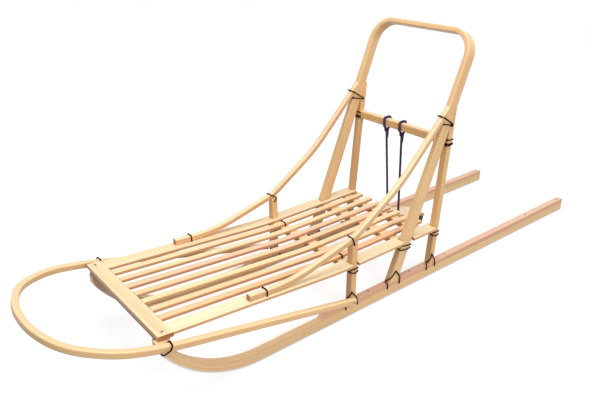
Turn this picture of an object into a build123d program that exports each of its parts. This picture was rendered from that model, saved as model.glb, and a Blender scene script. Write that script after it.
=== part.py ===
from build123d import *
import os
from math import atan, cos, radians, sin, tan

# A child's basket sled: wooden runners, posts, bent bows and bed slats, mortised and lashed with cord.
# Millimetres. +X points to the nose, +Y to the driver's left, +Z up, with the floor at Z = 0.
# X is measured from a mark at the rear stanchions until the finished pieces are centred over the origin.

# Runners
track = 400.0
runner_width = 24.0
shoe_thickness = 4.0
runner_thickness = 28.0
rail_thickness = 14.0
tail_x = -773.0
runner_bend_x = 700.0
runner_bend_radius = 349.0
runner_bend_angle = 68.0
runner_tip_thickness = 18.0
rail_front_x = 484.0
rail_front_bevel = 18.0

# Posts: foot position, rearward lean (run over rise) and depth along the sled
rear_foot_x = 6.0
rear_lean = 0.12
rear_depth = 20.0
front_foot_x = 359.7
front_lean = 0.035
front_depth = 22.0
post_width = 24.0
post_edge_radius = 3.0
tenon_width = 10.0
tenon_inset = 4.0
tenon_depth = 12.0
fit = 0.1

# Driving bow, a flat strip bent to a hoop in a plane that leans back
bow_foot_x = 185.0
bow_lean = 0.44
bow_strip_width = 36.0
bow_leg_thickness = 24.0
bow_top_thickness = 16.0
bow_top_z = 790.0
bow_corner_radius = 82.0
bow_edge_radius = 3.0

# Bed
bed_z = 170.0
bed_rise_angle = 4.55
bed_bend_radius = 1000.0
crosspiece_thickness = 18.0
crosspiece_width = 34.0
rear_bar_lead = 39.0
rear_bar_width = 31.0
crosspiece_edge_radius = 2.5
slat_width = 22.0
slat_thickness = 12.0
slat_edge_radius = 4.0
slat_rows_each_side = 3
side_slat_gap = 20.0
side_slat_thickness = 10.0
side_slat_inner_lip = 14.0
side_slat_outer_lip = 8.0
side_slat_edge_radius = 2.0
notch_clearance = 1.0
side_slat_rear_x = -8.0

# Nose
nose_front_x = 1003.5
nose_board_width = 43.0
nose_board_overhang = 12.0
nose_under_thickness = 12.0
nose_under_width = 36.0
nose_edge_radius = 2.0
slat_lap = 26.0

# Brush bow, a rounded square rod bent in one sloping plane, held off the runner tips by blocks
brush_rod = 19.0
brush_rod_radius = 6.0
brush_end_x = 346.0
brush_tip_x = 985.0
brush_tip_z = 212.0
brush_slope = 0.232
brush_front_x = 1255.0
brush_spread = 32.0
brush_side_back = 253.0
brush_side_radius = 500.0
brush_shoulder_back = 140.0
brush_shoulder_in = 16.0
brush_shoulder_radius = 220.0
brush_cheek_back = 42.0
brush_cheek_in = 86.0
brush_cheek_radius = 120.0
brush_front_in = 197.0
brush_front_radius = 200.0
brush_block_rear_x = 972.0
brush_block_front_x = 1014.0

# Handrails, rounded square rods
handrail_rod = 18.0
handrail_rod_radius = 5.0
handrail_front_x = 730.0
handrail_bend_x = 590.0
handrail_bend_radius = 500.0
handrail_knee_x = 350.0
handrail_knee_z = 262.0
handrail_knee_radius = 150.0
handrail_sweep_x = 165.0
handrail_sweep_z = 379.0
handrail_sweep_radius = 600.0
handrail_top_z = 560.0
handrail_out = 4.0

# Crossbar and the ropes hitched to it
crossbar_z = 465.0
crossbar_height = 28.0
crossbar_depth = 20.0
crossbar_edge_radius = 5.0
rope_diameter = 6.5
rope_gap = 0.4
rope_knot_radius = 6.5

# Brake board, lashed behind the rear crosspiece and held up by the ropes
brake_front_z = 166.0
brake_drop = 0.28
brake_length = 171.0
brake_width = 78.0
brake_thickness = 10.0
brake_edge_radius = 2.0
claw_strip = 14.0
claw_thickness = 4.0
claw_tooth_width = 8.0
claw_tooth_depth = 22.0

# Lashing cord
cord = 3.0
cord_gap = 0.2
foot_apex_rise = 37.0
foot_apex_lead = 4.0
foot_hole_lead = 3.0
bed_lashing_drops = [10.0, 18.0]
handrail_lash_x = 676.0
bow_lashing_drop = 21.0
crossbar_lashing_rise = 6.0
knee_lash_back = 7.0
knee_lash_forward = 5.5
knee_lash_depth = 22.0
brush_lash_x = 996.0
brush_lash_half = 14.0
brush_lash_inset = 12.0
brush_lash_tilt = 31.0
brake_lash_reach = 12.0

# Derived places
half_track = track / 2
rail_bottom = shoe_thickness + runner_thickness
rail_top = rail_bottom + rail_thickness
outer_y = half_track + runner_width / 2
inner_y = half_track - runner_width / 2
side_slat_inner_y = inner_y - side_slat_inner_lip
side_slat_outer_y = outer_y + side_slat_outer_lip
slat_pitch = (side_slat_inner_y - side_slat_gap - slat_width / 2) / slat_rows_each_side
nose_board_half = outer_y + nose_board_overhang
bow_angle = atan(bow_lean)
bed_angle = radians(bed_rise_angle)
sides = {"left": 1, "right": -1}
beyond = brush_front_x - tail_x  # longer than any piece, for trimming


def post_x(foot_x, lean, z):
    """Centre of a leaning post at height z."""
    return foot_x - lean * (z - rail_top)


def side_slab(outline, y, width):
    """Solid with the given XZ outline, centred on y."""
    return Pos(0, y, 0) * extrude(Plane.XZ * make_face(outline), amount=width / 2, both=True)


def polygon(points):
    return Polyline(*points, close=True)


def block(x0, x1, y0, y1, z0, z1):
    return Pos((x0 + x1) / 2, (y0 + y1) / 2, (z0 + z1) / 2) * Box(x1 - x0, y1 - y0, z1 - z0)


# The bed is level over the crosspieces and slopes up to the nose from the bend's corner.
front_bar_x = post_x(front_foot_x, front_lean, bed_z - crosspiece_thickness / 2)
middle_bar_x = post_x(bow_foot_x, bow_lean, bed_z - crosspiece_thickness / 2)
rear_post_x = post_x(rear_foot_x, rear_lean, bed_z - crosspiece_thickness / 2)
rear_bar_x = rear_post_x + rear_bar_lead
bed_corner_x = front_bar_x + crosspiece_width / 2 + bed_bend_radius * tan(bed_angle / 2)
nose_plane = Plane(
    origin=(bed_corner_x, 0, bed_z),
    x_dir=(cos(bed_angle), 0, sin(bed_angle)),
    z_dir=(-sin(bed_angle), 0, cos(bed_angle)),
)
nose_front_u = (nose_front_x - bed_corner_x) / cos(bed_angle)
nose_rear_u = nose_front_u - nose_board_width
nose_under_front_u = nose_front_u - (nose_board_width - nose_under_width) / 2
nose_under_rear_u = nose_under_front_u - nose_under_width


def nose_block(u0, u1, half_length, w0, w1):
    """Box in the sloping frame of the nose: u along the slope, w square to it."""
    return nose_plane * block(u0, u1, -half_length, half_length, w0, w1)


def nose_point(u, w):
    return nose_plane.from_local_coords(Vector(u, 0, w))


# The driving bow's plane: local X across the sled, local Y up the legs.
bow_plane = Plane(
    origin=(bow_foot_x, 0, rail_top),
    x_dir=(0, 1, 0),
    z_dir=(cos(bow_angle), 0, sin(bow_angle)),
)
bow_half_strip = bow_strip_width / 2


def cord_loop(plane, bundle):
    """Closed turn of cord round a bundle's convex section, drawn as a face in the given plane."""
    inside = offset(bundle, cord_gap, kind=Kind.INTERSECTION)
    turn = offset(inside, cord, kind=Kind.ARC) - inside
    return extrude(plane * turn, amount=cord / 2, both=True)


def cord_ring(x0, z0, x1, z1, y0, y1):
    """Turn of cord round a bundle that runs from (x0, z0) to (x1, z1) in side view
    and from y0 to y1 across the sled."""
    start = Vector(x0, (y0 + y1) / 2, z0)
    run = Vector(x1, (y0 + y1) / 2, z1) - start
    plane = Plane(
        origin=start + run * 0.5,
        x_dir=run.normalized(),
        z_dir=run.normalized().cross(Vector(0, 1, 0)),
    )
    return cord_loop(plane, Rectangle(run.length, y1 - y0))


def runner_outline(bottom_z, thickness, tip_thickness):
    """Side outline of a bent lamination: level from the tail, then an arc up to the tip."""
    radius = runner_bend_radius - bottom_z
    bend = radians(runner_bend_angle)
    tip_low = (runner_bend_x + radius * sin(bend), runner_bend_radius - radius * cos(bend))
    tip_high = (tip_low[0] - tip_thickness * sin(bend), tip_low[1] + tip_thickness * cos(bend))
    top_z = bottom_z + thickness
    return [
        Line((tail_x, bottom_z), (runner_bend_x, bottom_z)),
        TangentArc((runner_bend_x, bottom_z), tip_low, tangent=(1, 0)),
        Line(tip_low, tip_high),
        TangentArc((runner_bend_x, top_z), tip_high, tangent=(1, 0)),
        Line((runner_bend_x, top_z), (tail_x, top_z)),
        Line((tail_x, top_z), (tail_x, bottom_z)),
    ]


# The tips are trimmed under the nose board and level with its front edge.
tip_trim = nose_block(nose_under_rear_u - track, nose_front_u + track, track, -nose_under_thickness, track)
tip_trim += block(nose_front_x, nose_front_x + track, -track, track, 0, track)


def make_post_tenon(foot_x, lean, depth, clearance=0):
    """Tenon under a leaning post, or with a clearance the mortise that it fits."""
    half = depth / 2 - tenon_inset + clearance
    low_z = rail_top - tenon_depth - clearance
    low_x = post_x(foot_x, lean, low_z)
    outline = polygon([
        (low_x - half, low_z),
        (low_x + half, low_z),
        (foot_x + half, rail_top),
        (foot_x - half, rail_top),
    ])
    return side_slab(outline, 0, tenon_width + 2 * clearance)


bow_leg_depth = bow_strip_width / cos(bow_angle)
feet = [
    # foot_x, lean, depth along the sled at the foot
    (front_foot_x, front_lean, front_depth),
    (bow_foot_x, bow_lean, bow_leg_depth),
    (rear_foot_x, rear_lean, rear_depth),
]


def foot_lashing(foot_x, lean, depth):
    """Cord through a hole in the post, spread to two holes at the joint under the rail."""
    apex_z = rail_top + foot_apex_rise
    apex_x = post_x(foot_x, lean, apex_z) + foot_apex_lead
    low_z = rail_bottom + 2 * cord
    rear_leg = cord_ring(foot_x - depth / 2, low_z, apex_x, apex_z, inner_y, outer_y)
    front_leg = cord_ring(foot_x + depth / 2 + foot_hole_lead, low_z, apex_x, apex_z, inner_y, outer_y)
    return rear_leg + front_leg


# Handrail line in side view: along the side slat, up over the front stanchion, to the driving bow.
handrail_half = handrail_rod / 2
handrail_seat_w = side_slat_thickness + handrail_half


def handrail_on_slat(x):
    u = (x - bed_corner_x + handrail_seat_w * sin(bed_angle)) / cos(bed_angle)
    return nose_point(u, handrail_seat_w)


bow_front_x = post_x(bow_foot_x, bow_lean, handrail_top_z) + bow_half_strip / cos(bow_angle)
handrail_y = half_track + handrail_out
handrail_knee = Vector(handrail_knee_x, 0, handrail_knee_z)
handrail_bend = handrail_on_slat(handrail_bend_x)
handrail_sweep = Vector(handrail_sweep_x, 0, handrail_sweep_z)
handrail_end = (Vector(bow_front_x, 0, handrail_top_z) - handrail_sweep).normalized()
handrail_upper = (handrail_sweep - handrail_knee).normalized()
handrail_lower = (handrail_knee - handrail_bend).normalized()
handrail_past_bow = Vector(bow_front_x, 0, handrail_top_z) + handrail_end * bow_strip_width
knee_turn = radians(handrail_lower.get_angle(handrail_upper))
knee_inward = (handrail_upper - handrail_lower).normalized()
knee_middle = handrail_knee + knee_inward * handrail_knee_radius * (1 / cos(knee_turn / 2) - 1)
knee_along = (handrail_upper + handrail_lower).normalized()
knee_seat = knee_middle - knee_inward * handrail_half


def make_handrail(y):
    path = FilletPolyline(
        handrail_on_slat(handrail_front_x),
        handrail_bend,
        handrail_knee,
        handrail_sweep,
        handrail_past_bow,
        radius=[handrail_bend_radius, handrail_knee_radius, handrail_sweep_radius],
    )
    section = Plane(origin=path @ 0, x_dir=(0, 1, 0), z_dir=path % 0) * RectangleRounded(
        handrail_rod, handrail_rod, handrail_rod_radius
    )
    rail = sweep(section, path=path)
    behind_bow_front = bow_plane * block(-track, track, -beyond, beyond, -beyond, bow_half_strip)
    return Pos(0, y, 0) * (rail - behind_bow_front)


def make_front_stanchion():
    """Post with its top cut to the slope of the handrail that lies on it."""
    half = front_depth / 2
    top_z = knee_seat.Z + front_depth
    top_x = post_x(front_foot_x, front_lean, top_z)
    outline = polygon([
        (front_foot_x - half, rail_top),
        (front_foot_x + half, rail_top),
        (top_x + half, top_z),
        (top_x - half, top_z),
    ])
    post = side_slab(outline, 0, post_width)
    seat_plane = Plane(origin=knee_seat, x_dir=(0, 1, 0), z_dir=knee_inward)
    post = round_long_edges(post) - seat_plane * block(-track, track, -track, track, 0, track)
    return post + make_post_tenon(front_foot_x, front_lean, front_depth)


def make_rear_stanchion():
    """Post with its top bevelled to lie along the driving bow's rear face."""
    half = rear_depth / 2
    top_x = post_x(rear_foot_x, rear_lean, bow_top_z)
    outline = polygon([
        (rear_foot_x - half, rail_top),
        (rear_foot_x + half, rail_top),
        (top_x + half, bow_top_z),
        (top_x - half, bow_top_z),
    ])
    post = side_slab(outline, 0, post_width)
    ahead_of_bow_rear = bow_plane * block(-track, track, -beyond, beyond, -bow_half_strip, beyond)
    post = round_long_edges(post) - ahead_of_bow_rear
    return post + make_post_tenon(rear_foot_x, rear_lean, rear_depth)


def round_long_edges(post):
    long_edges = post.edges().filter_by(lambda edge: edge.length > 2 * post_width)
    return fillet(long_edges, post_edge_radius)


def make_driving_bow():
    top = (bow_top_z - rail_top) / cos(bow_angle)
    corner = top - bow_corner_radius
    corner_y = outer_y - bow_corner_radius
    inner_radius = bow_corner_radius - bow_top_thickness
    inner_top = top - bow_top_thickness
    inner_top_y = outer_y - bow_top_thickness
    inner_foot_y = outer_y - bow_leg_thickness
    below = -bow_strip_width
    outline = [
        Line((-outer_y, below), (-outer_y, corner)),
        CenterArc((-corner_y, corner), bow_corner_radius, 90, 90),
        Line((-corner_y, top), (corner_y, top)),
        CenterArc((corner_y, corner), bow_corner_radius, 0, 90),
        Line((outer_y, corner), (outer_y, below)),
        Line((outer_y, below), (inner_foot_y, below)),
        Line((inner_foot_y, below), (inner_top_y, corner)),
        CenterArc((corner_y, corner), inner_radius, 0, 90),
        Line((corner_y, inner_top), (-corner_y, inner_top)),
        CenterArc((-corner_y, corner), inner_radius, 90, 90),
        Line((-inner_top_y, corner), (-inner_foot_y, below)),
        Line((-inner_foot_y, below), (-outer_y, below)),
    ]
    bow = extrude(make_face(outline), amount=bow_half_strip, both=True)
    bow = fillet(bow.edges().filter_by(Axis.Z, reverse=True), bow_edge_radius)
    bow = bow_plane * bow - block(-beyond, beyond, -track, track, -track, rail_top)
    for side in sides.values():
        bow += Pos(0, side * half_track, 0) * make_post_tenon(bow_foot_x, bow_lean, bow_leg_depth)
    return bow


def make_tenons(x, z, clearance):
    """Square bar through from post to post, or with a clearance the mortises that it fits."""
    size = tenon_width + 2 * clearance
    return Pos(x, 0, z) * Box(size, 2 * (inner_y + tenon_depth + clearance), size)


def make_crosspiece(x, width):
    """Bar between the posts with a tenon in each."""
    return make_bar(x, width) + make_crosspiece_tenons(x, 0)


def make_bar(x, width):
    bar = block(x - width / 2, x + width / 2, -inner_y, inner_y, bed_z - crosspiece_thickness, bed_z)
    return fillet(bar.edges().filter_by(Axis.Y), crosspiece_edge_radius)


def make_rear_crosspiece():
    """Bar ahead of the rear posts, with ears under the side slats that reach back to them."""
    bar = make_bar(rear_bar_x, rear_bar_width)
    for side in sides.values():
        ear = block(rear_post_x - rear_depth / 2, rear_bar_x, side_slat_inner_y, inner_y,
                    bed_z - crosspiece_thickness, bed_z)
        bar += ear if side > 0 else mirror(ear, about=Plane.XZ)
    between_ears = block(-track, track, -side_slat_inner_y, side_slat_inner_y, 0, bed_z)
    return bar + (make_crosspiece_tenons(rear_post_x, 0) - between_ears)


def make_crosspiece_tenons(x, clearance):
    return make_tenons(x, bed_z - crosspiece_thickness / 2, clearance)


def make_crossbar():
    x = post_x(rear_foot_x, rear_lean, crossbar_z)
    bar = Pos(x, 0, crossbar_z) * Box(crossbar_depth, 2 * inner_y, crossbar_height)
    bar = fillet(bar.edges().filter_by(Axis.Y), crossbar_edge_radius)
    return bar + make_crossbar_tenons(0)


def make_crossbar_tenons(clearance):
    return make_tenons(post_x(rear_foot_x, rear_lean, crossbar_z), crossbar_z, clearance)


def bed_path(rear_x, front_u):
    return FilletPolyline(
        Vector(rear_x, 0, bed_z),
        Vector(bed_corner_x, 0, bed_z),
        nose_point(front_u, 0),
        radius=bed_bend_radius,
    )


def make_bent_slat(rear_x, front_u, width, thickness, edge_radius):
    path = bed_path(rear_x, front_u)
    strip = Pos(0, thickness / 2) * RectangleRounded(width, thickness, edge_radius)
    return sweep(Plane(origin=path @ 0, x_dir=(0, 1, 0), z_dir=(1, 0, 0)) * strip, path=path)


# Half the slat's thickness passes under the nose board in a dado.
lap_front_u = nose_rear_u + slat_lap
lap_top_w = slat_thickness / 2
above_lap = nose_block(nose_rear_u, nose_front_u, track, lap_top_w, 2 * slat_thickness)


def make_bed_slat(y, rear_x):
    slat = make_bent_slat(rear_x, lap_front_u, slat_width, slat_thickness, slat_edge_radius)
    return Pos(0, y, 0) * (slat - above_lap)


def make_side_slat(side):
    width = side_slat_outer_y - side_slat_inner_y
    middle_y = (side_slat_outer_y + side_slat_inner_y) / 2
    slat = make_bent_slat(side_slat_rear_x, lap_front_u, width, side_slat_thickness, side_slat_edge_radius)
    slat = Pos(0, middle_y, 0) * (slat - above_lap)
    for foot_x, lean, depth in feet:
        low_x = post_x(foot_x, lean, bed_z)
        high_x = post_x(foot_x, lean, bed_z + side_slat_thickness)
        half = depth / 2 + notch_clearance
        slat -= block(high_x - half, low_x + half, inner_y - notch_clearance, track, 0, 2 * bed_z)
    return slat if side > 0 else mirror(slat, about=Plane.XZ)


def make_nose_board(slat_ys):
    board = nose_block(nose_rear_u, nose_front_u, nose_board_half, 0, slat_thickness)
    board = fillet(board.edges().filter_by(Axis.Y), nose_edge_radius)
    side_middle = (side_slat_outer_y + side_slat_inner_y) / 2
    side_width = side_slat_outer_y - side_slat_inner_y
    dadoes = [(y, slat_width) for y in slat_ys]
    dadoes += [(side * side_middle, side_width) for side in sides.values()]
    for y, width in dadoes:
        dado = nose_block(nose_rear_u - fit, lap_front_u + fit, width / 2 + fit, -fit, lap_top_w)
        board -= Pos(0, y, 0) * dado
    return board


def make_nose_under_board():
    board = nose_block(nose_under_rear_u, nose_under_front_u, outer_y, -nose_under_thickness, 0)
    return fillet(board.edges().filter_by(Axis.Y), nose_edge_radius)


brush_arm_y = outer_y + cord + 2 * cord_gap + brush_rod / 2
brush_side_y = brush_arm_y + brush_spread
brush_angle = atan(brush_slope)
brush_plane = Plane(
    origin=(brush_tip_x, 0, brush_tip_z),
    x_dir=(cos(brush_angle), 0, sin(brush_angle)),
    z_dir=(-sin(brush_angle), 0, cos(brush_angle)),
)


def make_brush_bow():
    """Rounded square rod: arms that spread from the front posts, then a wide loop ahead of the nose."""
    end_u = (brush_end_x - brush_tip_x) / cos(brush_angle)
    front_u = (brush_front_x - brush_tip_x) / cos(brush_angle) - brush_rod / 2
    corners = [
        # back from the front, distance from the middle, bend radius
        (brush_side_back, brush_side_y, brush_side_radius),
        (brush_shoulder_back, brush_side_y - brush_shoulder_in, brush_shoulder_radius),
        (brush_cheek_back, brush_side_y - brush_cheek_in, brush_cheek_radius),
        (0, brush_side_y - brush_front_in, brush_front_radius),
    ]
    points = [(end_u, brush_arm_y)] + [(front_u - back, y) for back, y, radius in corners]
    points += [(u, -y) for u, y in reversed(points)]
    radii = [radius for back, y, radius in corners]
    path = brush_plane * FilletPolyline(*points, radius=radii + radii[::-1])
    section = Plane(origin=path @ 0, x_dir=brush_plane.z_dir, z_dir=path % 0) * RectangleRounded(
        brush_rod, brush_rod, brush_rod_radius
    )
    return sweep(section, path=path)


def make_brush_block():
    """Block on the runner's tip that reaches out to the brush bow's arm."""
    rear_u = (brush_block_rear_x - brush_tip_x) / cos(brush_angle)
    front_u = (brush_block_front_x - brush_tip_x) / cos(brush_angle)
    return brush_plane * block(rear_u, front_u, outer_y + fit, brush_side_y, -brush_rod / 2, 0)


# The brake's frame: local X down the board from the rear crosspiece, local Z square to it.
brake_angle = atan(brake_drop)
brake_hinge_x = rear_bar_x - rear_bar_width / 2
brake_plane = Plane(
    origin=(brake_hinge_x, 0, brake_front_z),
    x_dir=(-cos(brake_angle), 0, -sin(brake_angle)),
    z_dir=(-sin(brake_angle), 0, cos(brake_angle)),
)
brake_front_u = brake_thickness * tan(brake_angle) + fit
brake_half = brake_width / 2


def make_brake_board():
    board = block(brake_front_u, brake_length, -brake_half, brake_half, -brake_thickness, 0)
    return brake_plane * fillet(board.edges(), brake_edge_radius)


def make_brake_claw():
    """Steel strip under the board's rear end with a tooth at each side."""
    rear_u = brake_length - brake_edge_radius
    half = brake_half - brake_edge_radius
    strip_low = -brake_thickness - claw_thickness
    claw = block(rear_u - claw_strip, rear_u, -half, half, strip_low, -brake_thickness)
    for y in (half - claw_tooth_width / 2, claw_tooth_width / 2 - half):
        claw += block(rear_u - claw_strip, rear_u, y - claw_tooth_width / 2, y + claw_tooth_width / 2,
                      strip_low - claw_tooth_depth, strip_low)
    return brake_plane * claw


def make_hitch_rope(top_y, board_x, board_y):
    """Rope from a turn round the crossbar to a knot under the brake board, and the hole that it needs."""
    bar_x = post_x(rear_foot_x, rear_lean, crossbar_z)
    turn_plane = Plane(origin=(bar_x, top_y, crossbar_z), x_dir=(1, 0, 0), z_dir=(0, 1, 0))
    inside = Rectangle(crossbar_depth + 2 * rope_gap, crossbar_height + 2 * rope_gap)
    turn = offset(inside, rope_diameter, kind=Kind.ARC) - inside
    rope = extrude(turn_plane * turn, amount=rope_diameter / 2, both=True)
    top = Vector(bar_x, top_y, crossbar_z - crossbar_height / 2 - rope_gap - rope_diameter / 2)
    board_z = brake_front_z - (brake_hinge_x - board_x) * brake_drop
    run = top - Vector(board_x, board_y, board_z)
    along = run.normalized()
    under = (brake_thickness + rope_knot_radius + rope_gap) / along.dot(brake_plane.z_dir)
    knot = Vector(board_x, board_y, board_z) - along * under
    strand = Plane(origin=knot, z_dir=along)
    rope += Solid.make_cylinder(rope_diameter / 2, run.length + under, strand)
    rope += Pos(knot) * Sphere(rope_knot_radius)
    hole = Solid.make_cylinder(rope_diameter / 2 + rope_gap, 2 * under, strand)
    return rope, hole


parts = {}
slat_rows = [
    # number, row from the middle, rear end, whether a cord ties it
    (1, -3, -2.0, True),
    (2, -2, -3.0, False),
    (3, -1, 1.0, False),
    (4, 0, 0.0, False),
    (5, 1, 3.0, False),
    (6, 2, 1.0, False),
    (7, 3, -1.0, True),
]
slat_ys = [row * slat_pitch for number, row, rear_x, tied in slat_rows]

for name, side in sides.items():
    y = side * half_track
    runner_side = runner_outline(shoe_thickness, runner_thickness, runner_tip_thickness)
    parts["runner_" + name] = side_slab(runner_side, y, runner_width) - tip_trim
    shoe_side = runner_outline(0, shoe_thickness, shoe_thickness)
    parts["runner_shoe_" + name] = side_slab(shoe_side, y, runner_width) - tip_trim
    rail = side_slab(
        polygon([
            (tail_x, rail_bottom),
            (rail_front_x, rail_bottom),
            (rail_front_x - rail_front_bevel, rail_top),
            (tail_x, rail_top),
        ]),
        y,
        runner_width,
    )
    for foot in feet:
        rail -= Pos(0, y, 0) * make_post_tenon(*foot, clearance=fit)
    parts["runner_rail_" + name] = rail
    parts["front_stanchion_" + name] = Pos(0, y, 0) * make_front_stanchion()
    parts["rear_stanchion_" + name] = Pos(0, y, 0) * make_rear_stanchion()
    parts["handrail_" + name] = make_handrail(side * handrail_y)
    parts["side_slat_" + name] = make_side_slat(side)

parts["driving_bow"] = make_driving_bow()
parts["bed_crosspiece_front"] = make_crosspiece(front_bar_x, crosspiece_width)
parts["bed_crosspiece_middle"] = make_crosspiece(middle_bar_x, crosspiece_width)
parts["bed_crosspiece_rear"] = make_rear_crosspiece()
parts["crossbar"] = make_crossbar()
parts["nose_board"] = make_nose_board(slat_ys)
parts["nose_under_board"] = make_nose_under_board()
parts["brush_bow"] = make_brush_bow()
brush_block = make_brush_block() - parts["brush_bow"]
parts["brush_block_left"] = brush_block
parts["brush_block_right"] = mirror(brush_block, about=Plane.XZ)
parts["brake_board"] = make_brake_board()
parts["brake_claw"] = make_brake_claw()
for number, row, rear_x, tied in slat_rows:
    parts[f"bed_slat_{number}"] = make_bed_slat(row * slat_pitch, rear_x)

# Mortises for the crosspieces and the crossbar
for name in sides:
    parts["front_stanchion_" + name] -= make_crosspiece_tenons(front_bar_x, fit)
    parts["rear_stanchion_" + name] -= make_crosspiece_tenons(rear_post_x, fit)
    parts["rear_stanchion_" + name] -= make_crossbar_tenons(fit)
parts["driving_bow"] -= make_crosspiece_tenons(middle_bar_x, fit)

# Lashings. Each turn is cut to what it presses on, and wood is holed where the cord goes through.
lashing_wood = {
    # lashing: (pieces holed by the cord, pieces that the cord lies on), with the side's name to add
    "foot_lashing": (["runner", "runner_rail", "front_stanchion", "rear_stanchion"], []),
    "bed_lashing": ([], ["front_stanchion", "rear_stanchion"]),
    "handrail_front_lashing": (["side_slat"], ["handrail"]),
    "handrail_post_lashing": (["front_stanchion"], ["handrail"]),
    "bow_lashing": ([], ["rear_stanchion", "handrail"]),
    "crossbar_lashing": ([], ["rear_stanchion"]),
    "brush_bow_lashing": (["brush_block"], []),
}


def make_bed_lashings():
    """Two turns round each post where a crosspiece meets it, square to the leaning post."""
    turns = []
    for foot_x, lean, depth in feet:
        tilt = atan(lean)
        half = depth * cos(tilt) / 2
        rise = half * sin(tilt)
        reach = half * cos(tilt)
        for drop in bed_lashing_drops:
            z = bed_z - drop - rise
            x = post_x(foot_x, lean, z)
            turns.append(cord_ring(x - reach, z - rise, x + reach, z + rise, inner_y, outer_y))
    return turns


def make_handrail_front_lashing():
    """Turn round the handrail's front end and the slat under it."""
    low = nose_point((handrail_lash_x - bed_corner_x) / cos(bed_angle), 0)
    plane = Plane(origin=low, x_dir=(0, 1, 0), z_dir=(cos(bed_angle), 0, sin(bed_angle)))
    rail_inner = handrail_y - handrail_half
    rail_outer = handrail_y + handrail_half
    rail_high = side_slat_thickness + handrail_rod
    section = [
        # y across, height over the slat's underside
        (rail_inner, 0),
        (side_slat_outer_y, 0),
        (side_slat_outer_y, side_slat_thickness),
        (rail_outer, rail_high),
        (rail_inner, rail_high),
    ]
    return cord_loop(plane, make_face(Polyline(*section, close=True)))


def make_handrail_post_lashing():
    """Turn over the handrail's knee, slanting down and back through a hole in the stanchion."""
    top = knee_seat + knee_inward * handrail_rod - knee_along * knee_lash_back
    hole = knee_seat - knee_inward * knee_lash_depth + knee_along * knee_lash_forward
    return cord_ring(top.X, top.Z, hole.X, hole.Z, inner_y, handrail_y + handrail_half)


def make_bow_lashing():
    """Two turns that meet behind the rear stanchion, one over the handrail's end and one under it."""
    apex_z = handrail_top_z - bow_lashing_drop
    apex_x = post_x(rear_foot_x, rear_lean, apex_z) - rear_depth / 2
    square_up = Vector(handrail_end.Z, 0, -handrail_end.X)
    over = Vector(bow_front_x, 0, handrail_top_z) + square_up * handrail_half
    under_x = post_x(bow_foot_x, bow_lean, apex_z) + bow_leg_depth / 2
    reach_y = handrail_y + handrail_half
    return cord_ring(over.X, over.Z, apex_x, apex_z, inner_y, reach_y) + cord_ring(
        under_x, apex_z, apex_x, apex_z, inner_y, reach_y
    )


def make_crossbar_lashings():
    turns = []
    for rise in (-crossbar_lashing_rise, crossbar_lashing_rise):
        z = crossbar_z + rise
        x = post_x(rear_foot_x, rear_lean, z)
        turns.append(cord_ring(x - rear_depth / 2, z, x + rear_depth / 2, z, inner_y, outer_y))
    return turns


def make_brush_bow_lashing():
    """Slanting turn round the brush bow's arm, through a hole in the block beside it."""
    middle = brush_plane.from_local_coords(Vector((brush_lash_x - brush_tip_x) / cos(brush_angle), 0, 0))
    tilt = radians(brush_lash_tilt)
    across = Vector(cos(tilt), 0, -sin(tilt)) * brush_lash_half
    rear = middle - across
    front = middle + across
    arm_outer = brush_side_y + brush_rod / 2
    return cord_ring(rear.X, rear.Z, front.X, front.Z, arm_outer - brush_rod - brush_lash_inset, arm_outer)


left_lashings = {
    "foot_lashing": [foot_lashing(*foot) for foot in feet],
    "bed_lashing": make_bed_lashings(),
    "handrail_front_lashing": [make_handrail_front_lashing()],
    "handrail_post_lashing": [make_handrail_post_lashing()],
    "bow_lashing": [make_bow_lashing()],
    "crossbar_lashing": make_crossbar_lashings(),
    "brush_bow_lashing": [make_brush_bow_lashing()],
}
shared_wood = ["driving_bow", "bed_crosspiece_front", "bed_crosspiece_middle", "bed_crosspiece_rear"]
shared_wood += ["crossbar", "brush_bow", "nose_under_board"]
for lashing, turns in left_lashings.items():
    holed, pressed = lashing_wood[lashing]
    for name, side in sides.items():
        cords = turns if side > 0 else [mirror(turn, about=Plane.XZ) for turn in turns]
        for piece in holed:
            for turn in cords:
                parts[f"{piece}_{name}"] -= turn
        if lashing == "foot_lashing":
            for turn in cords:
                parts["driving_bow"] -= turn
        kept = []
        for turn in cords:
            for piece in pressed:
                turn -= parts[f"{piece}_{name}"]
            for piece in shared_wood:
                turn -= parts[piece]
            kept += turn.solids()
        parts[f"{lashing}_{name}"] = Compound(kept)

slat_cord_x = front_bar_x - crosspiece_width / 2 - cord / 2 - cord_gap
slat_turns = []
for number, row, rear_x, tied in slat_rows:
    y0 = row * slat_pitch - slat_width / 2
    if tied:
        turn = cord_ring(slat_cord_x, bed_z, slat_cord_x, bed_z + slat_thickness, y0, y0 + slat_width)
        slat_turns += turn.solids()
parts["slat_lashing"] = Compound(slat_turns)

# The brake board hangs on two cord loops through it and the rear crosspiece, between slats.
brake_turns = []
for side in sides.values():
    middle = (brake_hinge_x, side * slat_pitch / 2, bed_z - crosspiece_thickness / 2)
    turn_plane = Plane(origin=middle, x_dir=(1, 0, 0), z_dir=(0, 1, 0))
    turn = cord_loop(turn_plane, Rectangle(2 * brake_lash_reach, crosspiece_thickness))
    for piece in ("bed_crosspiece_rear", "brake_board"):
        parts[piece] -= turn
    brake_turns += turn.solids()
parts["brake_lashing"] = Compound(brake_turns)

ropes = [
    # name, y at the crossbar, x and y at the brake board
    ("left", 8.0, -46.0, 4.0),
    ("right", -63.0, -22.0, -26.0),
]
for name, top_y, board_x, board_y in ropes:
    rope, hole = make_hitch_rope(top_y, board_x, board_y)
    parts["brake_board"] -= hole
    parts["hitch_rope_" + name] = rope

centre_x = (tail_x + parts["brush_bow"].bounding_box().max.X) / 2
os.makedirs("parts", exist_ok=True)
for name, shape in parts.items():
    export_step(Pos(-centre_x, 0, 0) * shape, f"parts/{name}.step")
print(len(parts), "nodes")
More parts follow.
